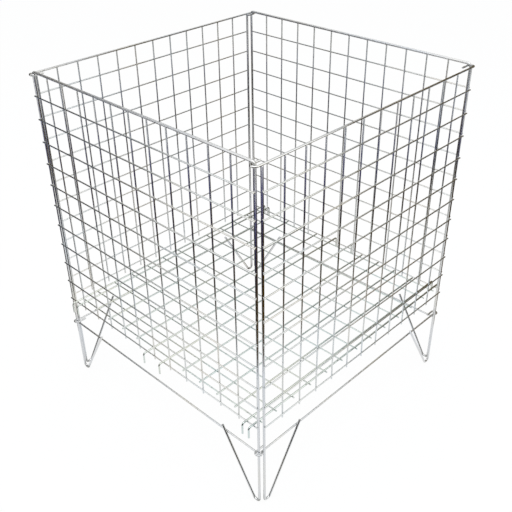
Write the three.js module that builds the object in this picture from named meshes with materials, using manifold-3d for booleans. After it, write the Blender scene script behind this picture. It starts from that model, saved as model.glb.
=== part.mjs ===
// Collapsible square dump bin of plated steel wire.
// Four welded mesh panels stand on V-shaped wire feet. Hairpins on the side panels hook round
// the uprights of the front and back panels, so the empty bin folds flat, and a wire shelf
// hangs by hooks from the lowest row of the front and back mesh.
// Millimetres, +Z up. The origin is on the floor under the middle of the bin.

import * as THREE from 'three';
import { mergeVertices } from 'three/addons/utils/BufferGeometryUtils.js';
import Module from 'manifold-3d';

const wasm = await Module();
wasm.setup();

// Overall sizes
const HINGE_SPAN_X = 600; // between the two uprights of the front panel
const HINGE_SPAN_Y = 606; // between the planes of the front and back panels
const HEIGHT = 750;

// Wire diameters
const FRAME_WIRE = 5; // hoops and side uprights
const RAIL_WIRE = 3.8; // hinge rails and bottom rails
const COLUMN_WIRE = 3; // upright wires of the panel mesh
const ROW_WIRE = 2.8; // level wires of the panel mesh
const HOOK_WIRE = 3.8; // shelf wires with hooked ends
const SHELF_WIRE = 3.5; // plain long wires of the shelf
const CROSS_WIRE = 2.8; // shelf wires across the long ones

// Panel mesh
const COLUMN_PITCH = 50; // nearest pitch that divides the span evenly is used
const ROW_PITCH = 49; // nearest pitch that divides the height evenly is used
const LOWEST_ROW_Z = 208.7; // axis of the row that carries the shelf
const ROW_OVERHANG = 0.5; // row ends past the uprights
const COLUMN_TAIL = 11; // column ends below the lowest row

// Frame bends, feet and bottom rails
const HOOP_BEND = 6; // centreline radius of the hoop's top corners
const FOOT_BEND = 6.5; // centreline radius of the foot bends
const FOOT_PAD = 3; // flat stretch of wire on the floor
const LEG_LEAN = THREE.MathUtils.degToRad(31); // leg from upright
const FRONT_LEG_RISE = 15; // leg tips of the front and back panels above their bottom rails
const SIDE_LEG_RISE = 11; // leg tips of the side panels above their bottom rails
const FRONT_RAIL_DROP = 77.7; // front and back bottom rails below the lowest row
const RAIL_STEP = 9; // side bottom rails above the front and back ones

// Hairpin hinges
const HINGE_CLEARANCE = 1.8; // between hairpin and upright
const HAIRPIN_SLACK = 0.5; // straight stretch of the hairpin past the upright's axis
const HAIRPIN_RETURN = 19; // free end of the hairpin past the upright's axis
const JOG_ANGLE = THREE.MathUtils.degToRad(45); // side bottom rail's slant past its upright
const JOG_CLEARANCE = 0.4; // more than the weld gap, between that slant and the upright
const TOP_CLEARANCE = 0.5; // between side top rails and hoops, at least

// Shelf
const SHELF_PITCH = 50; // nearest pitch that divides the shelf evenly is used
const EDGE_PAIR = 16.5; // between the two hook wires in the outermost cells
const SHELF_END_GAP = 13; // outermost cross wire to the panel plane
const SHELF_STUB_GAP = 4; // plain wire ends to the panel plane
const SHELF_SIDE_GAP = 11; // cross wire ends to the hinge axis
const HOOK_PLAY = 9.6; // between hook and row
const HOOK_BEND = 5; // centreline radius of the hooks
const HOOK_DROP = 25; // hook tip below the shelf wire's axis
const SHELF_SHIFT = 8; // the loose shelf lies this far towards the right panel

// Welds and facets
const WELD_GAP = 0.2; // between wires of separate pieces that are welded or resting
const FRAME_SIDES = 8;
const MESH_SIDES = 6;
const BEND_STEP = Math.PI / 8; // turn of one straight facet in a bend
const SAME_POINT = 0.01; // stations nearer than this are one

// Places that several pieces share
const TOP_RAIL_Z = HEIGHT - FRAME_WIRE / 2;
const FLOOR_WIRE_Z = FRAME_WIRE / 2; // axis of the wire that rests on the floor
const FOOT_TOP_Z = FLOOR_WIRE_Z + FOOT_BEND; // where an upright goes over into its foot
const FRONT_RAIL_Z = LOWEST_ROW_Z - FRONT_RAIL_DROP;
const SIDE_RAIL_Z = FRONT_RAIL_Z + RAIL_STEP;
const SIDE_TOP_DROP = Math.max(HOOP_BEND - HINGE_CLEARANCE, FRAME_WIRE / 2 + RAIL_WIRE / 2 + TOP_CLEARANCE);
const SIDE_TOP_Z = TOP_RAIL_Z - SIDE_TOP_DROP;
const HAIRPIN_HALF = FRAME_WIRE / 2 + RAIL_WIRE / 2 + HINGE_CLEARANCE; // rail axis from hinge axis
const RAIL_OFFSET = FRAME_WIRE / 2 + RAIL_WIRE / 2 + WELD_GAP; // welded rail axis from upright axis
const MESH_FACE = FRAME_WIRE / 2 + WELD_GAP; // plane where rows meet columns, outside the panel plane
const JOG_OFFSET = RAIL_OFFSET + JOG_CLEARANCE; // side bottom rail's slant from the upright's axis
const JOG_BEND = RAIL_WIRE; // centreline radius of the jog
const JOG_REACH = JOG_OFFSET / Math.sin(JOG_ANGLE) + JOG_BEND * Math.tan(JOG_ANGLE / 2);
const SIDE_SPAN = HINGE_SPAN_Y - 2 * JOG_REACH; // uprights of a side panel, with room for the jogs
const SHELF_Z = LOWEST_ROW_Z + ROW_WIRE / 2 + WELD_GAP; // underside of the long shelf wires

const X_AXIS = new THREE.Vector3(1, 0, 0);
const Y_AXIS = new THREE.Vector3(0, 1, 0);
const Z_AXIS = new THREE.Vector3(0, 0, 1);

// A corner or an end of a wire, and the centreline radius of the bend there.
function corner(x, y, z, bend = 0) {
  return { at: new THREE.Vector3(x, y, z), bend };
}

// A wire bent in one plane: straight runs between corners, each corner rounded by an arc.
class BentWire extends THREE.Curve {

  constructor(corners, planeNormal) {
    super();
    this.planeNormal = planeNormal;
    this.stations = [];
    corners.forEach(({ at, bend }, i) => {
      const before = corners[i - 1]?.at;
      const after = corners[i + 1]?.at;
      if (before && after) this.addBend(before, at, after, bend);
      else if (after) this.addStation(at, after.clone().sub(at));
      else this.addStation(at, at.clone().sub(before));
    });
  }

  addStation(point, direction) {
    const last = this.stations.at(-1);
    if (last && last.point.distanceTo(point) < SAME_POINT) return;
    this.stations.push({ point: point.clone(), tangent: direction.clone().normalize() });
  }

  addBend(before, at, after, bend) {
    const incoming = at.clone().sub(before).normalize();
    const outgoing = after.clone().sub(at).normalize();
    const turn = incoming.angleTo(outgoing);
    const setback = bend * Math.tan(turn / 2);
    const start = at.clone().addScaledVector(incoming, -setback);
    const inward = outgoing.clone().addScaledVector(incoming, -incoming.dot(outgoing)).normalize();
    const steps = Math.max(1, Math.round(turn / BEND_STEP));
    for (let i = 0; i <= steps; i++) {
      const angle = turn * i / steps;
      const point = start.clone()
        .addScaledVector(incoming, bend * Math.sin(angle))
        .addScaledVector(inward, bend * (1 - Math.cos(angle)));
      const tangent = incoming.clone().multiplyScalar(Math.cos(angle))
        .addScaledVector(inward, Math.sin(angle));
      this.addStation(point, tangent);
    }
  }

  get segments() {
    return this.stations.length - 1;
  }

  station(u) {
    return this.stations[Math.round(u * this.segments)];
  }

  getPointAt(u, target = new THREE.Vector3()) {
    return target.copy(this.station(u).point);
  }

  getTangentAt(u, target = new THREE.Vector3()) {
    return target.copy(this.station(u).tangent);
  }

  computeFrenetFrames() {
    const tangents = this.stations.map((s) => s.tangent);
    const normals = tangents.map(() => this.planeNormal);
    const binormals = tangents.map((t) => t.clone().cross(this.planeNormal));
    return { tangents, normals, binormals };
  }

}

// Regular section of a wire, with a flat face towards the normal of the wire's plane.
function wireSection(diameter, sides) {
  const radius = diameter / 2 / Math.cos(Math.PI / sides);
  const section = new THREE.Shape();
  for (let i = 0; i < sides; i++) {
    const angle = (i + 0.5) * 2 * Math.PI / sides;
    const x = radius * Math.cos(angle);
    const y = radius * Math.sin(angle);
    if (i === 0) section.moveTo(x, y);
    else section.lineTo(x, y);
  }
  section.closePath();
  return section;
}

function wireGeometry(path, diameter, sides) {
  return new THREE.ExtrudeGeometry(wireSection(diameter, sides), {
    steps: path.segments,
    extrudePath: path,
    bevelEnabled: false,
  });
}

function bentWire(corners, planeNormal, diameter) {
  return wireGeometry(new BentWire(corners, planeNormal), diameter, FRAME_SIDES);
}

function straightWire(start, end, planeNormal, diameter) {
  return wireGeometry(new BentWire([start, end], planeNormal), diameter, MESH_SIDES);
}

function toSolid(geometry) {
  geometry.deleteAttribute('normal');
  geometry.deleteAttribute('uv');
  const merged = mergeVertices(geometry);
  return new wasm.Manifold(new wasm.Mesh({
    numProp: 3,
    vertProperties: merged.attributes.position.array,
    triVerts: Uint32Array.from(merged.index.array),
  }));
}

// Joins crossing wires into one welded body.
function weld(geometries) {
  const solid = geometries.map(toSolid).reduce((sum, wire) => sum.add(wire));
  const { vertProperties, triVerts } = solid.getMesh();
  const geometry = new THREE.BufferGeometry();
  geometry.setAttribute('position', new THREE.BufferAttribute(vertProperties, 3));
  geometry.setIndex(new THREE.BufferAttribute(triVerts, 1));
  geometry.computeVertexNormals();
  return geometry;
}

function piece(name, geometry, colour) {
  const material = new THREE.MeshStandardMaterial({ color: colour, roughness: 0.3, metalness: 1 });
  const mesh = new THREE.Mesh(geometry, material);
  mesh.name = name;
  return mesh;
}

const FRAME_COLOUR = 0x8e9092;
const MESH_COLOUR = 0x86888b;
const SHELF_COLOUR = 0x95938e;

// Evenly spaced values from one end to the other, both ends included.
function spread(from, to, pitch) {
  const cells = Math.max(2, Math.round(Math.abs(to - from) / pitch));
  return Array.from({ length: cells + 1 }, (_, i) => from + (to - from) * i / cells);
}

// Distance from the panel's middle to the inner end of a foot's flat stretch,
// for the foot of an upright at x = half.
function footPadX(half) {
  return half - FOOT_BEND - FOOT_PAD - FOOT_BEND * Math.tan((Math.PI / 2 - LEG_LEAN) / 2);
}

function legTipX(half, tipZ) {
  return footPadX(half) - (tipZ - FLOOR_WIRE_Z) * Math.tan(LEG_LEAN);
}

// V foot under the upright at x = side * half. Its leg leans up towards the panel's middle.
// Upright and foot are one bent wire on the bin, and meet end to end here.
function footWire(side, half, y, tipZ) {
  return bentWire([
    corner(side * half, y, FOOT_TOP_Z),
    corner(side * half, y, FLOOR_WIRE_Z, FOOT_BEND),
    corner(side * footPadX(half), y, FLOOR_WIRE_Z, FOOT_BEND),
    corner(side * legTipX(half, tipZ), y, tipZ),
  ], Y_AXIS, FRAME_WIRE);
}

// Mesh of one panel, in the panel's own frame: outside is -Y, and planeY is the panel plane.
function panelMesh(span, planeY, topZ) {
  const faceY = planeY - MESH_FACE;
  const columnY = faceY + COLUMN_WIRE / 2;
  const rowY = faceY - ROW_WIRE / 2;
  const rowHalf = span / 2 + FRAME_WIRE / 2 + ROW_OVERHANG;
  const columns = spread(-span / 2, span / 2, COLUMN_PITCH).slice(1, -1);
  const rows = spread(LOWEST_ROW_Z, TOP_RAIL_Z, ROW_PITCH).slice(0, -1);
  const columnWires = columns.map((x) => straightWire(
    corner(x, columnY, LOWEST_ROW_Z - COLUMN_TAIL), corner(x, columnY, topZ), Y_AXIS, COLUMN_WIRE));
  const rowWires = rows.map((z) => straightWire(
    corner(-rowHalf, rowY, z), corner(rowHalf, rowY, z), Y_AXIS, ROW_WIRE));
  return weld([...columnWires, ...rowWires]);
}

// Front or back panel: a hoop on two feet, a bottom rail and the mesh.
// minusEnd and plusEnd name the feet at -X and +X of the panel's own frame.
function hoopPanel(name, turn, minusEnd, plusEnd) {
  const panel = new THREE.Group();
  panel.rotation.z = turn;
  const half = HINGE_SPAN_X / 2;
  const planeY = -HINGE_SPAN_Y / 2;
  const tipZ = FRONT_RAIL_Z + FRONT_LEG_RISE;

  const hoop = bentWire([
    corner(-half, planeY, FOOT_TOP_Z + WELD_GAP),
    corner(-half, planeY, TOP_RAIL_Z, HOOP_BEND),
    corner(half, planeY, TOP_RAIL_Z, HOOP_BEND),
    corner(half, planeY, FOOT_TOP_Z + WELD_GAP),
  ], Y_AXIS, FRAME_WIRE);
  panel.add(piece(`${name}_hoop`, hoop, FRAME_COLOUR));
  for (const [end, side] of [[minusEnd, -1], [plusEnd, 1]]) {
    panel.add(piece(`${name}_${end}_foot`, footWire(side, half, planeY, tipZ), FRAME_COLOUR));
  }

  // The bottom rail lies inside the uprights and legs, and ends flush with the uprights.
  const railHalf = half + FRAME_WIRE / 2;
  const bottomRail = bentWire([
    corner(-railHalf, planeY + RAIL_OFFSET, FRONT_RAIL_Z),
    corner(railHalf, planeY + RAIL_OFFSET, FRONT_RAIL_Z),
  ], Z_AXIS, RAIL_WIRE);
  panel.add(piece(`${name}_bottom_rail`, bottomRail, FRAME_COLOUR));

  const columnTopZ = TOP_RAIL_Z - FRAME_WIRE / 2 - WELD_GAP;
  panel.add(piece(`${name}_mesh`, panelMesh(HINGE_SPAN_X, planeY, columnTopZ), MESH_COLOUR));
  return panel;
}

// Rail with a hairpin at each end, round the hinge axes at x = +-HINGE_SPAN_Y / 2. The free ends
// lie inside the hinge axes. The long run lies in the plane of the side uprights, or inset from it:
// then the rail jogs out between its own upright and the hinge upright to reach each hairpin.
function hingeRail(hingeY, inset, z) {
  const planeY = hingeY - HAIRPIN_HALF;
  const innerY = hingeY + HAIRPIN_HALF;
  const tipX = HINGE_SPAN_Y / 2 + HAIRPIN_SLACK + HAIRPIN_HALF;
  const half = [
    corner(HINGE_SPAN_Y / 2 - HAIRPIN_RETURN, innerY, z),
    corner(tipX, innerY, z, HAIRPIN_HALF),
    corner(tipX, planeY, z, HAIRPIN_HALF),
  ];
  if (inset > 0) {
    const outX = JOG_OFFSET / Math.sin(JOG_ANGLE);
    const inX = outX - inset / Math.tan(JOG_ANGLE);
    half.push(corner(SIDE_SPAN / 2 + outX, planeY, z, JOG_BEND));
    half.push(corner(SIDE_SPAN / 2 + inX, planeY + inset, z, JOG_BEND));
  }
  const otherHalf = half.toReversed().map(({ at, bend }) => corner(-at.x, at.y, at.z, bend));
  return bentWire([...half, ...otherHalf], Z_AXIS, RAIL_WIRE);
}

// Side panel: two uprights on feet, two hinge rails and the mesh.
// minusEnd and plusEnd name the uprights at -X and +X of the panel's own frame.
function sidePanel(name, turn, minusEnd, plusEnd) {
  const panel = new THREE.Group();
  panel.rotation.z = turn;
  const hingeY = -HINGE_SPAN_X / 2;
  const planeY = hingeY - HAIRPIN_HALF;
  const half = SIDE_SPAN / 2;
  const topZ = SIDE_TOP_Z - RAIL_WIRE / 2 - WELD_GAP;

  for (const [end, side] of [[minusEnd, -1], [plusEnd, 1]]) {
    const upright = bentWire([
      corner(side * half, planeY, topZ),
      corner(side * half, planeY, FOOT_TOP_Z + WELD_GAP),
    ], Y_AXIS, FRAME_WIRE);
    panel.add(piece(`${name}_${end}_upright`, upright, FRAME_COLOUR));
    const foot = footWire(side, half, planeY, SIDE_RAIL_Z + SIDE_LEG_RISE);
    panel.add(piece(`${name}_${end}_foot`, foot, FRAME_COLOUR));
  }
  const topRail = hingeRail(hingeY, 0, SIDE_TOP_Z);
  panel.add(piece(`${name}_top_hinge_rail`, topRail, FRAME_COLOUR));
  const bottomRail = hingeRail(hingeY, RAIL_OFFSET, SIDE_RAIL_Z);
  panel.add(piece(`${name}_bottom_hinge_rail`, bottomRail, FRAME_COLOUR));
  panel.add(piece(`${name}_mesh`, panelMesh(SIDE_SPAN, planeY, topZ), MESH_COLOUR));
  return panel;
}

// Shelf: one long wire to each mesh cell, cross wires below them,
// and hooked wires in the two middle cells and in pairs in the outermost cells.
function shelf() {
  const group = new THREE.Group();
  group.position.x = SHELF_SHIFT;
  const edges = spread(-HINGE_SPAN_X / 2, HINGE_SPAN_X / 2, COLUMN_PITCH);
  const centres = edges.slice(1).map((x, i) => (x + edges[i]) / 2);
  const middle = centres.length / 2;
  const hooked = [
    centres[0] - EDGE_PAIR / 2,
    centres[0] + EDGE_PAIR / 2,
    ...centres.slice(Math.ceil(middle) - 1, Math.floor(middle) + 1),
    centres.at(-1) - EDGE_PAIR / 2,
    centres.at(-1) + EDGE_PAIR / 2,
  ];
  const plain = centres.slice(1, -1).filter((x) => !hooked.includes(x));

  const plainZ = SHELF_Z + SHELF_WIRE / 2;
  const crossZ = SHELF_Z - CROSS_WIRE / 2;
  const stubY = HINGE_SPAN_Y / 2 - SHELF_STUB_GAP;
  const endY = HINGE_SPAN_Y / 2 - SHELF_END_GAP;
  const crossX = HINGE_SPAN_X / 2 - SHELF_SIDE_GAP;
  const innerY = SHELF_PITCH * Math.floor((endY - SHELF_PITCH / 2) / SHELF_PITCH);
  const crossings = [-endY, ...spread(-innerY, innerY, SHELF_PITCH), endY];
  const longWires = plain.map((x) => straightWire(
    corner(x, -stubY, plainZ), corner(x, stubY, plainZ), Z_AXIS, SHELF_WIRE));
  const crossWires = crossings.map((y) => straightWire(
    corner(-crossX, y, crossZ), corner(crossX, y, crossZ), Z_AXIS, CROSS_WIRE));
  group.add(piece('shelf_grid', weld([...longWires, ...crossWires]), SHELF_COLOUR));

  const hookZ = SHELF_Z + WELD_GAP + HOOK_WIRE / 2;
  const hookY = HINGE_SPAN_Y / 2 + MESH_FACE + ROW_WIRE + HOOK_PLAY + HOOK_WIRE / 2;
  hooked.forEach((x, i) => {
    const wire = bentWire([
      corner(x, -hookY, hookZ - HOOK_DROP),
      corner(x, -hookY, hookZ, HOOK_BEND),
      corner(x, hookY, hookZ, HOOK_BEND),
      corner(x, hookY, hookZ - HOOK_DROP),
    ], X_AXIS, HOOK_WIRE);
    group.add(piece(`shelf_hook_wire_${i + 1}`, wire, SHELF_COLOUR));
  });
  return group;
}

const bin = new THREE.Group();
bin.name = 'dump_bin';
bin.add(hoopPanel('front', 0, 'left', 'right'));
bin.add(hoopPanel('back', Math.PI, 'right', 'left'));
bin.add(sidePanel('right', Math.PI / 2, 'front', 'back'));
bin.add(sidePanel('left', -Math.PI / 2, 'back', 'front'));
bin.add(shelf());

export default bin;
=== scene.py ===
"""Collapsible wire dump bin: round plated wires with bends, cut ends and welds, in a small studio."""

import math
import random

import bpy
from mathutils import Matrix, Vector


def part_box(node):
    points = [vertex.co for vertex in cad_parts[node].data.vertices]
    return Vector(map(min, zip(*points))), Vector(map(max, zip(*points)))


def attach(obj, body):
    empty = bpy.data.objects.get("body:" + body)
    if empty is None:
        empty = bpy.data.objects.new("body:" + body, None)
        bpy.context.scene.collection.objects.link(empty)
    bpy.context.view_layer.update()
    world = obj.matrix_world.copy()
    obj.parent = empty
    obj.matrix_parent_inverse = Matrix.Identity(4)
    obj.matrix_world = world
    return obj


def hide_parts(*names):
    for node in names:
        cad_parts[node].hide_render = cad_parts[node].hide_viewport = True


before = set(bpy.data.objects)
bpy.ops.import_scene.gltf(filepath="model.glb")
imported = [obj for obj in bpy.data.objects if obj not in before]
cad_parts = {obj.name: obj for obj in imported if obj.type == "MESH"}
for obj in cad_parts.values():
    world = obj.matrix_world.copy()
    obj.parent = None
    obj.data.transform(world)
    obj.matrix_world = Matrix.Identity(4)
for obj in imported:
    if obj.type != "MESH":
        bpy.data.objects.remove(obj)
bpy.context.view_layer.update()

# Metres throughout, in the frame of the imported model.
MM = 0.001


def low(node):
    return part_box(node)[0]


def high(node):
    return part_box(node)[1]


def middle(node):
    return (low(node) + high(node)) / 2


def extent(node):
    return high(node) - low(node)


# Wire diameters
FRAME_WIRE = extent("front_hoop").y
RAIL_WIRE = extent("right_top_hinge_rail").z
HOOK_WIRE = extent("shelf_hook_wire_1").x
ROW_WIRE = 2.8 * MM
COLUMN_WIRE = extent("front_mesh").y - ROW_WIRE
CROSS_WIRE = 2.8 * MM
LONG_WIRE = extent("shelf_grid").z - CROSS_WIRE

# Places that the frame gives
HINGE_X = high("front_hoop").x - FRAME_WIRE / 2
HINGE_Y = -middle("front_hoop").y
TOP_Z = high("front_hoop").z - FRAME_WIRE / 2
SIDE_X = middle("right_front_upright").x
SIDE_HALF = -middle("right_front_upright").y
FLOOR_WIRE_Z = FRAME_WIRE / 2
COLUMN_TAIL = 11 * MM
LOWEST_ROW_Z = low("front_mesh").z + COLUMN_TAIL
MESH_FACE = -low("front_mesh").y - HINGE_Y - ROW_WIRE
CELLS_ACROSS = 12
CELLS_DOWN = 11

# Shelf
HOOK_WIRES = 6
CROSS_PAIRS = 5         # cross wires on each side of the middle one, without the end wires
SHELF_PITCH = 50 * MM
SHELF_END_GAP = 13 * MM

# Bends and cut ends
HOOP_BEND = 6 * MM
FOOT_BEND = 6.5 * MM
FOOT_PAD = 3 * MM
HOOK_BEND = 5 * MM
HAIRPIN_RETURN = 19 * MM
JOG_ANGLE = math.radians(45)
JOG_CLEARANCE = 0.4 * MM
LEG_LEAN = math.radians(31)
CUT_CHAMFER = 0.14      # of the wire's radius
BOW = 0.35 * MM         # how far the thin wires are out of straight

# Welds, with half sizes along the wall, through it and upwards
SET_DOWN = 0.3 * MM     # how far welded wires sink into each other
WELD_GAP = 0.2 * MM     # between rails and uprights, filled by a weld
CROSSING_WELD = (1.5 * MM, 0.9 * MM, 1.5 * MM)
COLUMN_TOP_WELD = (1.9 * MM, 1.9 * MM, 0.9 * MM)
ROW_END_WELD = (1.7 * MM, 1.1 * MM, 1.7 * MM)
RAIL_WELD = (2.2 * MM, 1.2 * MM, 2.2 * MM)
UPRIGHT_TOP_WELD = (2.4 * MM, 2.2 * MM, 1.0 * MM)
SHELF_WELD = (1.6 * MM, 1.6 * MM, 0.9 * MM)
SHELF_WELD_LIFT = 0.1 * MM
WELD_SPREAD = (0.85, 1.12)      # smallest and largest share of those sizes

# Mesh fineness
WIRE_SIDES = 16
WELD_SIDES = 10
WELD_BELTS = 5
BEND_STEP = math.radians(9)
RUN_PIECES = 10         # lengths in a straight wire
SHORTEST = 0.01 * MM    # closer points on a wire are one
IN_LINE = 1e-9          # cross product of two runs that need no bend
SHARP = math.radians(40)
GRAIN_LENGTH = 10       # each wire starts somewhere in this length of the draw-line pattern

rng = random.Random(7)


class WireMesh:
    """Round wires and weld nuggets gathered into one mesh.

    Each point also has a wire coordinate: across the wire in X and Y, and along it in Z.
    """

    def __init__(self):
        self.points = []
        self.faces = []
        self.coords = []

    def ring(self, centre, side, up, radius, along):
        first = len(self.points)
        for i in range(WIRE_SIDES):
            angle = 2 * math.pi * i / WIRE_SIDES
            across, above = radius * math.cos(angle), radius * math.sin(angle)
            self.points.append(centre + side * across + up * above)
            self.coords.append(Vector((across, above, along)))
        return first

    def bridge(self, first, second):
        for i in range(WIRE_SIDES):
            j = (i + 1) % WIRE_SIDES
            self.faces.append((first + i, first + j, second + j, second + i))

    def wire(self, corners, diameter, bow=None):
        """corners are (point, bend radius); bow pushes the middle of a straight wire aside."""
        stations = route(corners, bow)
        normal = plane_normal([point for point, bend in corners])
        radius = diameter / 2
        cut = radius * CUT_CHAMFER
        along = rng.uniform(0, GRAIN_LENGTH)
        rings = []

        def add(point, tangent, size):
            rings.append(self.ring(point, normal, tangent.cross(normal), size, along))

        start, heading = stations[0]
        add(start, heading, radius - cut)
        before = start
        for point, tangent in [(start + heading * cut, heading)] + stations[1:-1]:
            along += (point - before).length
            before = point
            add(point, tangent, radius)
        end, heading = stations[-1]
        along += (end - before).length
        add(end - heading * cut, heading, radius)
        add(end, heading, radius - cut)
        for first, second in zip(rings, rings[1:]):
            self.bridge(first, second)
        self.faces.append(tuple(range(rings[0] + WIRE_SIDES - 1, rings[0] - 1, -1)))
        self.faces.append(tuple(range(rings[-1], rings[-1] + WIRE_SIDES)))

    def nugget(self, centre, size):
        """Squashed bead of weld metal, with its half sizes along X, Y and Z."""
        half = Vector(part * rng.uniform(*WELD_SPREAD) for part in size)
        shell = [(0, 0, -1)]
        for belt in range(1, WELD_BELTS + 1):
            tilt = -math.pi / 2 + math.pi * belt / (WELD_BELTS + 1)
            for i in range(WELD_SIDES):
                angle = 2 * math.pi * i / WELD_SIDES
                shell.append((math.cos(tilt) * math.cos(angle),
                              math.cos(tilt) * math.sin(angle), math.sin(tilt)))
        shell.append((0, 0, 1))
        first = len(self.points)
        for direction in shell:
            offset = Vector(part * reach for part, reach in zip(direction, half))
            self.points.append(centre + offset)
            self.coords.append(centre + offset)
        last = first + len(shell) - 1
        for i in range(WELD_SIDES):
            j = (i + 1) % WELD_SIDES
            self.faces.append((first, first + 1 + j, first + 1 + i))
            for belt in range(WELD_BELTS - 1):
                base = first + 1 + belt * WELD_SIDES
                self.faces.append((base + i, base + j, base + WELD_SIDES + j, base + WELD_SIDES + i))
            base = last - WELD_SIDES
            self.faces.append((base + i, base + j, last))

    def make(self, name, material, body, slot, replaced):
        mesh = bpy.data.meshes.new(name)
        mesh.from_pydata(self.points, [], self.faces)
        coord = mesh.attributes.new("wire_coord", "FLOAT_VECTOR", "POINT")
        coord.data.foreach_set("vector", [part for point in self.coords for part in point])
        mesh.shade_smooth()
        mesh.set_sharp_from_angle(angle=SHARP)
        mesh.materials.append(material)
        piece = bpy.data.objects.new(name, mesh)
        bpy.context.scene.collection.objects.link(piece)
        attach(piece, body)
        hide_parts(*replaced)


def route(corners, bow):
    """Points along a bent wire with the wire's direction at each."""
    points = [point for point, bend in corners]
    if bow is not None:
        start, end = points
        heading = (end - start).normalized()
        steps = [i / RUN_PIECES for i in range(RUN_PIECES + 1)]
        return [(start.lerp(end, t) + bow * math.sin(math.pi * t), heading) for t in steps]
    stations = [(points[0], (points[1] - points[0]).normalized())]
    for i in range(1, len(points) - 1):
        stations += bend_stations(points[i - 1], points[i], points[i + 1], corners[i][1])
    stations.append((points[-1], (points[-1] - points[-2]).normalized()))
    kept = stations[:1]
    for station in stations[1:]:
        if (station[0] - kept[-1][0]).length > SHORTEST:
            kept.append(station)
    return kept


def bend_stations(before, at, after, bend):
    incoming = (at - before).normalized()
    outgoing = (after - at).normalized()
    turn = incoming.angle(outgoing)
    start = at - incoming * bend * math.tan(turn / 2)
    inward = (outgoing - incoming * incoming.dot(outgoing)).normalized()
    steps = max(2, math.ceil(turn / BEND_STEP))
    stations = []
    for i in range(steps + 1):
        angle = turn * i / steps
        point = start + incoming * bend * math.sin(angle) + inward * bend * (1 - math.cos(angle))
        stations.append((point, incoming * math.cos(angle) + inward * math.sin(angle)))
    return stations


def plane_normal(points):
    first = points[1] - points[0]
    for start, end in zip(points[1:], points[2:]):
        normal = first.cross(end - start)
        if normal.length > IN_LINE:
            return normal.normalized()
    return first.orthogonal().normalized()


class Panel:
    """One wall of the bin, in its own frame: X along the wall, `out` past its plane, Z up."""

    def __init__(self, name, turn, half, plane):
        self.name = name
        self.body = f"{name}_panel"
        self.turn = Matrix.Rotation(turn, 3, "Z")
        self.half = half
        self.plane = plane
        self.welds = WireMesh()

    def at(self, x, out, z):
        return self.turn @ Vector((x, -self.plane - out, z))

    def weld(self, x, out, z, size):
        turned = self.turn @ Vector(size)
        self.welds.nugget(self.at(x, out, z), [abs(part) for part in turned])

    def leg_x(self, z):
        """Where the middle of a leg is at a height; at the floor, the corner of its bend."""
        floor_bend = FOOT_BEND * math.tan((math.pi / 2 - LEG_LEAN) / 2)
        return self.half - FOOT_BEND - FOOT_PAD - floor_bend - (z - FLOOR_WIRE_Z) * math.tan(LEG_LEAN)

    def foot(self, side, tip_z):
        """Corners from the floor bend of an upright to the tip of its leg."""
        return [
            (self.at(side * self.half, 0, FLOOR_WIRE_Z), FOOT_BEND),
            (self.at(side * self.leg_x(FLOOR_WIRE_Z), 0, FLOOR_WIRE_Z), FOOT_BEND),
            (self.at(side * self.leg_x(tip_z), 0, tip_z), 0),
        ]

    def weld_rail(self, z):
        """Welds of the bottom rail to the inner side of uprights and legs."""
        for side in (-1, 1):
            for x in (self.half, self.leg_x(z)):
                self.weld(side * x, -FRAME_WIRE / 2, z, RAIL_WELD)

    def mesh_wires(self, rail_z, rail_wire):
        """Columns under the top rail, rows outside them, and a weld at each crossing."""
        columns, rows = WireMesh(), WireMesh()
        node = f"{self.name}_mesh"
        column_out = MESH_FACE - COLUMN_WIRE / 2
        row_out = MESH_FACE + ROW_WIRE / 2 - SET_DOWN
        row_half = (extent(node).x if self.name in ("front", "back") else extent(node).y) / 2
        column_x = [self.half * (2 * i / CELLS_ACROSS - 1) for i in range(1, CELLS_ACROSS)]
        row_z = [LOWEST_ROW_Z + (TOP_Z - LOWEST_ROW_Z) * i / CELLS_DOWN for i in range(CELLS_DOWN)]
        under_rail = rail_z - rail_wire / 2
        for x in column_x:
            ends = [self.at(x, column_out, z) for z in (low(node).z, under_rail + SET_DOWN)]
            aside = self.turn @ Vector((rng.uniform(-BOW, BOW), 0, 0))
            columns.wire([(end, 0) for end in ends], COLUMN_WIRE, aside)
            self.weld(x, column_out / 2, under_rail, COLUMN_TOP_WELD)
        for z in row_z:
            ends = [self.at(side * row_half, row_out, z) for side in (-1, 1)]
            rows.wire([(end, 0) for end in ends], ROW_WIRE, Vector((0, 0, rng.uniform(-BOW, BOW))))
            for x in column_x:
                self.weld(x, MESH_FACE, z, CROSSING_WELD)
            for side in (-1, 1):
                self.weld(side * self.half, MESH_FACE, z, ROW_END_WELD)
        columns.make(f"{self.name}_columns", MESH_METAL, self.body, "mesh_wire", [node])
        rows.make(f"{self.name}_rows", MESH_METAL, self.body, "mesh_wire", [node])

    def finish_welds(self):
        self.welds.make(f"{self.name}_welds", WELD_METAL, self.body, "mesh_wire", [f"{self.name}_mesh"])


def leg_tip_z(foot):
    """Height of the middle of the cut end of a leg."""
    return high(foot).z - FRAME_WIRE / 2 * math.sin(LEG_LEAN)


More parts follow.
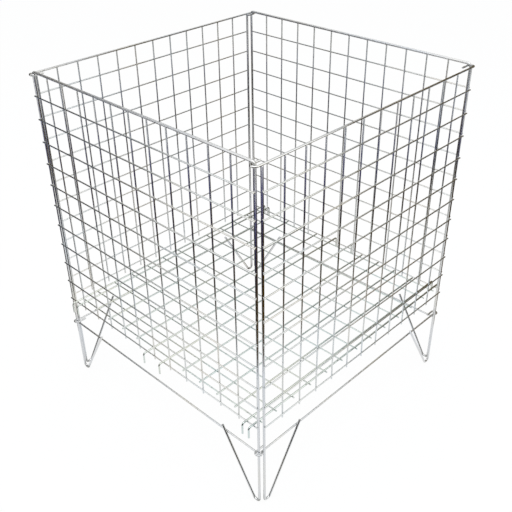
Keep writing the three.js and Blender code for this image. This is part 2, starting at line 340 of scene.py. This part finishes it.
def hoop_panel(name, turn):
    """Front or back wall: one hoop of wire with both feet, a bottom rail and the mesh."""
    panel = Panel(name, turn, HINGE_X, HINGE_Y)
    feet = [f"{name}_left_foot", f"{name}_right_foot"]
    tip_z = leg_tip_z(feet[0])
    hoop = WireMesh()
    hoop.wire([
        *reversed(panel.foot(-1, tip_z)),
        (panel.at(-HINGE_X, 0, TOP_Z), HOOP_BEND),
        (panel.at(HINGE_X, 0, TOP_Z), HOOP_BEND),
        *panel.foot(1, tip_z),
    ], FRAME_WIRE)
    hoop.make(f"{name}_hoop_wire", FRAME_METAL, panel.body, "frame_wire", [f"{name}_hoop", *feet])

    # The bottom rail lies inside the uprights and legs.
    node = f"{name}_bottom_rail"
    rail_z = middle(node).z
    rail_half = extent(node).x / 2
    rail_out = abs(middle(node).y) - HINGE_Y
    rail = WireMesh()
    rail.wire([(panel.at(side * rail_half, rail_out, rail_z), 0) for side in (-1, 1)], RAIL_WIRE)
    rail.make(f"{name}_bottom_rail_wire", RAIL_METAL, panel.body, "frame_wire", [node])
    panel.weld_rail(rail_z)

    panel.mesh_wires(TOP_Z, FRAME_WIRE)
    panel.finish_welds()


def rail_jog():
    """Bends of a side bottom rail, from the hairpin past its upright to the run inside the upright."""
    inset = FRAME_WIRE / 2 + RAIL_WIRE / 2 + WELD_GAP
    out_x = (inset + JOG_CLEARANCE) / math.sin(JOG_ANGLE)
    in_x = out_x - inset / math.tan(JOG_ANGLE)
    return [(SIDE_HALF + out_x, 0, RAIL_WIRE), (SIDE_HALF + in_x, -inset, RAIL_WIRE)]


def side_panel(name, turn, ends):
    """Right or left wall: two uprights with feet, two hinge rails and the mesh."""
    panel = Panel(name, turn, SIDE_HALF, SIDE_X)
    rails = {part: f"{name}_{part}_hinge_rail" for part in ("top", "bottom")}
    top_z = middle(rails["top"]).z
    bottom_z = middle(rails["bottom"]).z
    under_rail = top_z - RAIL_WIRE / 2
    for side, end in zip((-1, 1), ends):
        foot = f"{name}_{end}_foot"
        upright = f"{name}_{end}_upright"
        top = panel.at(side * SIDE_HALF, 0, under_rail + SET_DOWN)
        wire = WireMesh()
        wire.wire([(top, 0), *panel.foot(side, leg_tip_z(foot))], FRAME_WIRE)
        wire.make(f"{upright}_wire", FRAME_METAL, panel.body, "frame_wire", [upright, foot])
        panel.weld(side * SIDE_HALF, 0, under_rail, UPRIGHT_TOP_WELD)

    for part, node in rails.items():
        z = middle(node).z
        inner = min(abs(low(node).x), abs(high(node).x)) + RAIL_WIRE / 2 - SIDE_X
        bend = -inner / 2
        tip = extent(node).y / 2 - RAIL_WIRE / 2
        half = [(HINGE_Y - HAIRPIN_RETURN, inner, 0), (tip, inner, bend), (tip, 0, bend)]
        if part == "bottom":
            half += rail_jog()
        other_half = [(-x, out, bend) for x, out, bend in reversed(half)]
        rail = WireMesh()
        rail.wire([(panel.at(x, out, z), bend) for x, out, bend in half + other_half], RAIL_WIRE)
        metal = FRAME_METAL if part == "top" else RAIL_METAL
        rail.make(f"{node}_wire", metal, panel.body, "frame_wire", [node])
    panel.weld_rail(bottom_z)

    panel.mesh_wires(top_z, RAIL_WIRE)
    panel.finish_welds()


def shelf():
    """Base grid: long wires over cross wires, some of the long ones bent into hooks at both ends."""
    grid_low, grid_high = low("shelf_grid"), high("shelf_grid")
    face = grid_low.z + CROSS_WIRE
    long_z = face + LONG_WIRE / 2
    cross_z = face - CROSS_WIRE / 2 + SET_DOWN
    cell = 2 * HINGE_X / CELLS_ACROSS
    cells = range(1, CELLS_ACROSS // 2 - 1)
    plain_x = [middle("shelf_grid").x + side * cell * (i + 0.5) for side in (-1, 1) for i in cells]
    end_y = HINGE_Y - SHELF_END_GAP
    inner_y = [i * SHELF_PITCH for i in range(-CROSS_PAIRS, CROSS_PAIRS + 1)]
    cross_y = [-end_y, *inner_y, end_y]

    long_wires, cross_wires, welds = WireMesh(), WireMesh(), WireMesh()
    for x in plain_x:
        ends = [Vector((x, side * grid_high.y, long_z)) for side in (-1, 1)]
        long_wires.wire([(end, 0) for end in ends], LONG_WIRE, Vector((rng.uniform(-BOW, BOW), 0, 0)))
    for y in cross_y:
        ends = [Vector((x, y, cross_z)) for x in (grid_low.x, grid_high.x)]
        cross_wires.wire([(end, 0) for end in ends], CROSS_WIRE, Vector((0, rng.uniform(-BOW, BOW), 0)))
    long_wires.make("shelf_long_wires", SHELF_METAL, "shelf", "shelf_wire", ["shelf_grid"])
    cross_wires.make("shelf_cross_wires", SHELF_METAL, "shelf", "shelf_wire", ["shelf_grid"])

    hook_x = []
    for number in range(1, HOOK_WIRES + 1):
        node = f"shelf_hook_wire_{number}"
        x = middle(node).x
        hook_x.append(x)
        hook_y = high(node).y - HOOK_WIRE / 2
        hook_z = high(node).z - HOOK_WIRE / 2
        wire = WireMesh()
        wire.wire([
            (Vector((x, -hook_y, low(node).z)), 0),
            (Vector((x, -hook_y, hook_z)), HOOK_BEND),
            (Vector((x, hook_y, hook_z)), HOOK_BEND),
            (Vector((x, hook_y, low(node).z)), 0),
        ], HOOK_WIRE)
        wire.make(f"{node}_round", SHELF_METAL, "shelf", "shelf_wire", [node])
    for x in plain_x + hook_x:
        for y in cross_y:
            welds.nugget(Vector((x, y, face + SHELF_WELD_LIFT)), SHELF_WELD)
    welds.make("shelf_welds", WELD_METAL, "shelf", "shelf_wire", ["shelf_grid"])


# Materials

RIM_Z = TOP_Z - FRAME_WIRE / 2
RIM_FADE = 1 * MM


def new_material(name):
    material = bpy.data.materials.new(name)
    material.use_nodes = True
    nodes = material.node_tree.nodes
    nodes.clear()
    output = nodes.new("ShaderNodeOutputMaterial")
    return material, nodes, material.node_tree.links, output


def noise(nodes, links, vector, scale, detail=3.0):
    texture = nodes.new("ShaderNodeTexNoise")
    texture.inputs["Scale"].default_value = scale
    texture.inputs["Detail"].default_value = detail
    links.new(vector, texture.inputs["Vector"])
    return texture.outputs["Fac"]


def ramp(nodes, links, factor, stops):
    node = nodes.new("ShaderNodeValToRGB")
    elements = node.color_ramp.elements
    while len(elements) < len(stops):
        elements.new(0.5)
    for element, (place, colour) in zip(elements, stops):
        element.position = place
        element.color = (*colour, 1)
    links.new(factor, node.inputs["Fac"])
    return node.outputs["Color"]


def spread(nodes, links, factor, lowest, highest, start=0.3, end=0.7):
    """Values from lowest to highest while the factor goes from start to end."""
    node = nodes.new("ShaderNodeMapRange")
    node.inputs["From Min"].default_value = start
    node.inputs["From Max"].default_value = end
    node.inputs["To Min"].default_value = lowest
    node.inputs["To Max"].default_value = highest
    links.new(factor, node.inputs["Value"])
    return node.outputs["Result"]


def relief(nodes, links, height, strength, distance):
    bump = nodes.new("ShaderNodeBump")
    bump.inputs["Strength"].default_value = strength
    bump.inputs["Distance"].default_value = distance
    links.new(height, bump.inputs["Height"])
    return bump.outputs["Normal"]


def plated_wire(name, cool, plain, warm, rough, rim_wear=0.0):
    """Bright plating on drawn wire: draw lines along it, dull patches and a faint colour film.

    rim_wear is the roughness that handling adds along the top rim of the bin.
    """
    material, nodes, links, output = new_material(name)
    shader = nodes.new("ShaderNodeBsdfPrincipled")
    shader.inputs["Metallic"].default_value = 1.0
    wire = nodes.new("ShaderNodeAttribute")
    wire.attribute_name = "wire_coord"
    place = nodes.new("ShaderNodeTexCoord").outputs["Object"]

    film = noise(nodes, links, place, scale=7.0, detail=2.0)
    stops = [(0.34, cool), (0.5, plain), (0.68, warm)]
    links.new(ramp(nodes, links, film, stops), shader.inputs["Base Color"])

    dull = noise(nodes, links, place, scale=55.0)
    height = nodes.new("ShaderNodeSeparateXYZ")
    links.new(place, height.inputs["Vector"])
    wear = spread(nodes, links, height.outputs["Z"], 0, rim_wear, RIM_Z - RIM_FADE, RIM_Z)
    worn = nodes.new("ShaderNodeMath")
    links.new(spread(nodes, links, dull, *rough), worn.inputs[0])
    links.new(wear, worn.inputs[1])
    links.new(worn.outputs["Value"], shader.inputs["Roughness"])

    stretch = nodes.new("ShaderNodeMapping")
    stretch.inputs["Scale"].default_value = (1.0, 1.0, 0.02)
    links.new(wire.outputs["Vector"], stretch.inputs["Vector"])
    draw_lines = noise(nodes, links, stretch.outputs["Vector"], scale=2600.0, detail=2.0)
    links.new(relief(nodes, links, draw_lines, 0.12, 0.05 * MM), shader.inputs["Normal"])
    links.new(shader.outputs["BSDF"], output.inputs["Surface"])
    return material


def weld_metal():
    """Duller plating over pitted weld metal, with a brownish heat tint."""
    material, nodes, links, output = new_material("weld_metal")
    shader = nodes.new("ShaderNodeBsdfPrincipled")
    shader.inputs["Metallic"].default_value = 1.0
    place = nodes.new("ShaderNodeTexCoord").outputs["Object"]
    tint = noise(nodes, links, place, scale=60.0)
    stops = [(0.35, (0.50, 0.51, 0.53)), (0.55, (0.46, 0.45, 0.43)), (0.7, (0.40, 0.36, 0.31))]
    links.new(ramp(nodes, links, tint, stops), shader.inputs["Base Color"])
    pits = noise(nodes, links, place, scale=1400.0)
    links.new(spread(nodes, links, pits, 0.28, 0.5), shader.inputs["Roughness"])
    links.new(relief(nodes, links, pits, 0.4, 0.1 * MM), shader.inputs["Normal"])
    links.new(shader.outputs["BSDF"], output.inputs["Surface"])
    return material


FRAME_FILM = ((0.63, 0.66, 0.70), (0.67, 0.68, 0.69), (0.69, 0.68, 0.64))
MESH_FILM = ((0.63, 0.67, 0.70), (0.67, 0.69, 0.69), (0.71, 0.69, 0.65))
SHELF_FILM = ((0.58, 0.67, 0.67), (0.63, 0.69, 0.67), (0.67, 0.69, 0.63))
FRAME_METAL = plated_wire("frame_plating", *FRAME_FILM, rough=(0.10, 0.20), rim_wear=0.25)
RAIL_METAL = plated_wire("rail_plating", *FRAME_FILM, rough=(0.22, 0.32))
MESH_METAL = plated_wire("mesh_plating", *MESH_FILM, rough=(0.10, 0.20))
SHELF_METAL = plated_wire("shelf_plating", *SHELF_FILM, rough=(0.12, 0.22))
WELD_METAL = weld_metal()

hoop_panel("front", 0)
hoop_panel("back", math.pi)
side_panel("right", math.pi / 2, ("front", "back"))
side_panel("left", -math.pi / 2, ("back", "front"))
shelf()


# Studio

CAMERA_AZIMUTH = math.radians(44.5)
CAMERA_ELEVATION = math.radians(32.61)
CAMERA_ROLL = math.radians(-0.8)
CAMERA_TARGET = Vector((4.4, -2.3, 315.4)) * MM
CAMERA_DISTANCE = 1655.3 * MM
CAMERA_SIDE = CAMERA_AZIMUTH - math.pi / 2
SENSOR_WIDTH = 36.0     # millimetres, as the lens
LENS = 51.52

# Painted reflections: glowing cards for a floor, walls and camera stand that only the wires mirror; an
# edge is a radius and a shift to the camera.
FLOOR_REACH = 6.0
WALL = 3.0
WALL_HEIGHT = 2.8
CAMERA_WALL_HEIGHT = 2.2
STAND = 2.0
STAND_HEIGHT = 1.3
SHEET_EDGE = (0.61, 0.20)
NEAR_EDGE = (1.05, 0.15)
DARK_EDGE = (1.45, 0.10)
BLUE_EDGE = (1.85, 0.0)
FAR_EDGE = (3.5, 0.0)
OLIVE = (0.20, 0.17, 0.05)
CARD_LIFT = 1 * MM
ARC_STEP = 5            # degrees

# Tall glowing strips beside the camera, painted highlights that only the wires mirror
STRIP_NEAR = (1.1, 77)  # radius, and angle from the camera's side in degrees
STRIP_FAR = (2.9, 60)
STRIP_FOOT = 0.4
STRIP_HEIGHT = 2.8

# Shade under each corner of the bin, as its feet mirror it
SHADE_HALF = 14 * MM
SHADE_INSET = 6 * MM    # from the corner of the bin to the middle of the shade


def seen_directly(nodes, links):
    """1 for rays that come straight from the camera, or by way of a mirror or glass."""
    path = nodes.new("ShaderNodeLightPath")
    total = path.outputs["Is Camera Ray"]
    for ray in ("Is Glossy Ray", "Is Transmission Ray"):
        either = nodes.new("ShaderNodeMath")
        either.operation = "MAXIMUM"
        links.new(total, either.inputs[0])
        links.new(path.outputs[ray], either.inputs[1])
        total = either.outputs["Value"]
    return total


def white_world():
    """White where it is seen, and a slightly dimmer, cooler light on the set."""
    world = bpy.data.worlds.new("studio")
    bpy.context.scene.world = world
    world.use_nodes = True
    nodes, links = world.node_tree.nodes, world.node_tree.links
    nodes.clear()
    output = nodes.new("ShaderNodeOutputWorld")
    fill = nodes.new("ShaderNodeBackground")
    fill.inputs["Color"].default_value = (0.95, 0.97, 1.0, 1)
    fill.inputs["Strength"].default_value = 0.9
    white = nodes.new("ShaderNodeBackground")
    white.inputs["Color"].default_value = (1, 1, 1, 1)
    white.inputs["Strength"].default_value = 1.0
    mix = nodes.new("ShaderNodeMixShader")
    links.new(seen_directly(nodes, links), mix.inputs["Fac"])
    links.new(fill.outputs["Background"], mix.inputs[1])
    links.new(white.outputs["Background"], mix.inputs[2])
    links.new(mix.outputs["Shader"], output.inputs["Surface"])


def stage_card(name, points, faces, material):
    mesh = bpy.data.meshes.new(name)
    mesh.from_pydata(points, [], faces)
    mesh.materials.append(material)
    card = bpy.data.objects.new(name, mesh)
    bpy.context.scene.collection.objects.link(card)
    return card


def pale_floor():
    """White floor that still takes a trace of shadow."""
    material, nodes, links, output = new_material("pale_floor")
    paint = nodes.new("ShaderNodeBsdfDiffuse")
    paint.inputs["Color"].default_value = (0.92, 0.92, 0.92, 1)
    white = nodes.new("ShaderNodeEmission")
    white.inputs["Strength"].default_value = 1.0
    share = nodes.new("ShaderNodeMath")
    share.operation = "MULTIPLY"
    share.inputs[1].default_value = 0.93
    mix = nodes.new("ShaderNodeMixShader")
    links.new(seen_directly(nodes, links), share.inputs[0])
    links.new(share.outputs["Value"], mix.inputs["Fac"])
    links.new(paint.outputs["BSDF"], mix.inputs[1])
    links.new(white.outputs["Emission"], mix.inputs[2])
    links.new(mix.outputs["Shader"], output.inputs["Surface"])
    corners = [(FLOOR_REACH * x, FLOOR_REACH * y, 0) for x, y in ((-1, -1), (1, -1), (1, 1), (-1, 1))]
    stage_card("floor", corners, [(0, 1, 2, 3)], material)


def painted_reflection_card(name, near_edge, far_edge, colour):
    """Painted reflection: a glowing strip between two edges that only the plated wires show; it isn't
    in the picture itself and lights nothing.
    """
    material, nodes, links, output = new_material(name)
    glow = nodes.new("ShaderNodeEmission")
    glow.inputs["Color"].default_value = (*colour, 1)
    links.new(glow.outputs["Emission"], output.inputs["Surface"])
    count = len(near_edge)
    faces = [(i, i + 1, count + i + 1, count + i) for i in range(count - 1)]
    card = stage_card(name, near_edge + far_edge, faces, material)
    card.visible_camera = False
    card.visible_diffuse = False
    card.visible_shadow = False
    card.visible_transmission = False


def around(radius, angle, height):
    """Point at an angle in degrees from the camera's side."""
    turned = CAMERA_SIDE + math.radians(angle)
    return Vector((radius * math.cos(turned), radius * math.sin(turned), height))


def arc(radius, start, end, height, shift=0.0):
    """Points round the bin, from one angle to another; shift is towards the camera."""
    steps = max(2, round(abs(end - start) / ARC_STEP))
    angles = [start + (end - start) * i / steps for i in range(steps + 1)]
    return [around(radius, angle, height) + around(shift, 0, 0) for angle in angles]


# Painted reflection of a band of floor, on a glowing card that only the wires show
def painted_floor_reflection(name, inner, outer, start, end, colour):
    edges = [arc(radius, start, end, CARD_LIFT, shift) for radius, shift in (inner, outer)]
    painted_reflection_card(name, *edges, colour)


# Painted reflection of a wall, on a glowing card that only the wires show
def painted_wall_reflection(name, radius, start, end, height, colour):
    painted_reflection_card(name, arc(radius, start, end, 0), arc(radius, start, end, height), colour)


# Glowing strip, brighter than white, that the wires show as a painted highlight; it lights nothing
def painted_highlight_strip(name, side, colour):
    foot = [around(radius, side * angle, STRIP_FOOT) for radius, angle in (STRIP_NEAR, STRIP_FAR)]
    head = [point + Vector((0, 0, STRIP_HEIGHT)) for point in foot]
    painted_reflection_card(name, foot, head, colour)


def shade_card(name, x, y, colour):
    """Shade under one corner of the bin; x and y are the corner's signs."""
    centre = Vector((x * (HINGE_X - SHADE_INSET), y * (HINGE_Y - SHADE_INSET), CARD_LIFT))
    edges = [[centre + Vector((a * SHADE_HALF, b * SHADE_HALF, 0)) for a in (-1, 1)] for b in (-1, 1)]
    painted_reflection_card(name, *edges, colour)


def painted_surroundings():
    """Painted reflections of a dark room, with a bright strip on each side of the camera and a dark
    floor round a white sheet, on glowing cards that only the wires show.
    """
    painted_floor_reflection("right_near_floor", SHEET_EDGE, NEAR_EDGE, 0, 180, (0.075, 0.042, 0.004))
    painted_floor_reflection("right_dark_floor", NEAR_EDGE, DARK_EDGE, 0, 180, (0.04, 0.024, 0.008))
    painted_floor_reflection("left_near_floor", SHEET_EDGE, NEAR_EDGE, -180, 0, (0.042, 0.034, 0.024))
    painted_floor_reflection("left_dark_floor", NEAR_EDGE, DARK_EDGE, -180, 0, (0.02, 0.02, 0.075))
    painted_floor_reflection("blue_floor", DARK_EDGE, BLUE_EDGE, -74, 74, (0.09, 0.09, 0.24))
    painted_floor_reflection("right_far_floor", DARK_EDGE, FAR_EDGE, 74, 93, OLIVE)
    painted_floor_reflection("right_pale_floor", DARK_EDGE, FAR_EDGE, 93, 128, (0.45, 0.52, 0.62))
    painted_floor_reflection("back_far_floor", DARK_EDGE, FAR_EDGE, 128, 232, OLIVE)
    painted_floor_reflection("left_pale_floor", DARK_EDGE, FAR_EDGE, 232, 267, (0.45, 0.50, 0.64))
    painted_floor_reflection("left_far_floor", DARK_EDGE, FAR_EDGE, 267, 286, OLIVE)
    painted_wall_reflection("right_wall", WALL, 79, 169, WALL_HEIGHT, (0.12, 0.078, 0.018))
    painted_wall_reflection("back_wall", WALL, 169, 191, WALL_HEIGHT, (0.55, 0.55, 0.48))
    painted_wall_reflection("left_wall", WALL, 191, 281, WALL_HEIGHT, (0.045, 0.04, 0.03))
    painted_wall_reflection("camera_wall", WALL, -56, 56, CAMERA_WALL_HEIGHT, (0.06, 0.057, 0.02))
    painted_wall_reflection("camera_stand", STAND, -22, 22, STAND_HEIGHT, (0.02, 0.02, 0.01))
    # Painted highlights in the wires
    painted_highlight_strip("right_highlight_strip", 1, (1.62, 1.6, 1.53))
    painted_highlight_strip("left_highlight_strip", -1, (1.6, 1.6, 1.6))
    for number, (x, y) in enumerate(((1, -1), (1, 1), (-1, 1), (-1, -1)), start=1):
        shade_card(f"shade_{number}", x, y, (0.45, 0.45, 0.43))


def soft_lamp(name, place, target, size, power):
    light = bpy.data.lights.new(name, "AREA")
    light.shape = "RECTANGLE"
    light.size, light.size_y = size
    light.energy = power
    lamp = bpy.data.objects.new(name, light)
    lamp.location = place
    lamp.rotation_euler = (Vector(target) - Vector(place)).to_track_quat("-Z", "Y").to_euler()
    bpy.context.scene.collection.objects.link(lamp)


def photo_camera():
    """Camera that looks down at the bin's front right corner, rolled by less than a degree."""
    level = Vector((math.cos(CAMERA_AZIMUTH), math.sin(CAMERA_AZIMUTH), 0))
    back = Vector((math.sin(CAMERA_AZIMUTH) * math.cos(CAMERA_ELEVATION),
                   -math.cos(CAMERA_AZIMUTH) * math.cos(CAMERA_ELEVATION), math.sin(CAMERA_ELEVATION)))
    upright = back.cross(level)
    right = level * math.cos(CAMERA_ROLL) + upright * math.sin(CAMERA_ROLL)
    up = upright * math.cos(CAMERA_ROLL) - level * math.sin(CAMERA_ROLL)
    data = bpy.data.cameras.new("camera")
    data.sensor_width = SENSOR_WIDTH
    data.lens = LENS
    camera = bpy.data.objects.new("camera", data)
    turn = Matrix((right, up, back)).transposed().to_4x4()
    camera.matrix_world = Matrix.Translation(CAMERA_TARGET + back * CAMERA_DISTANCE) @ turn
    bpy.context.scene.collection.objects.link(camera)
    bpy.context.scene.camera = camera


white_world()
pale_floor()
painted_surroundings()
soft_lamp("overhead", place=(0.6, -0.6, 3.6), target=(0.6, -0.6, 0), size=(3.4, 3.4), power=54)
photo_camera()
bpy.context.scene.view_settings.view_transform = "Standard"
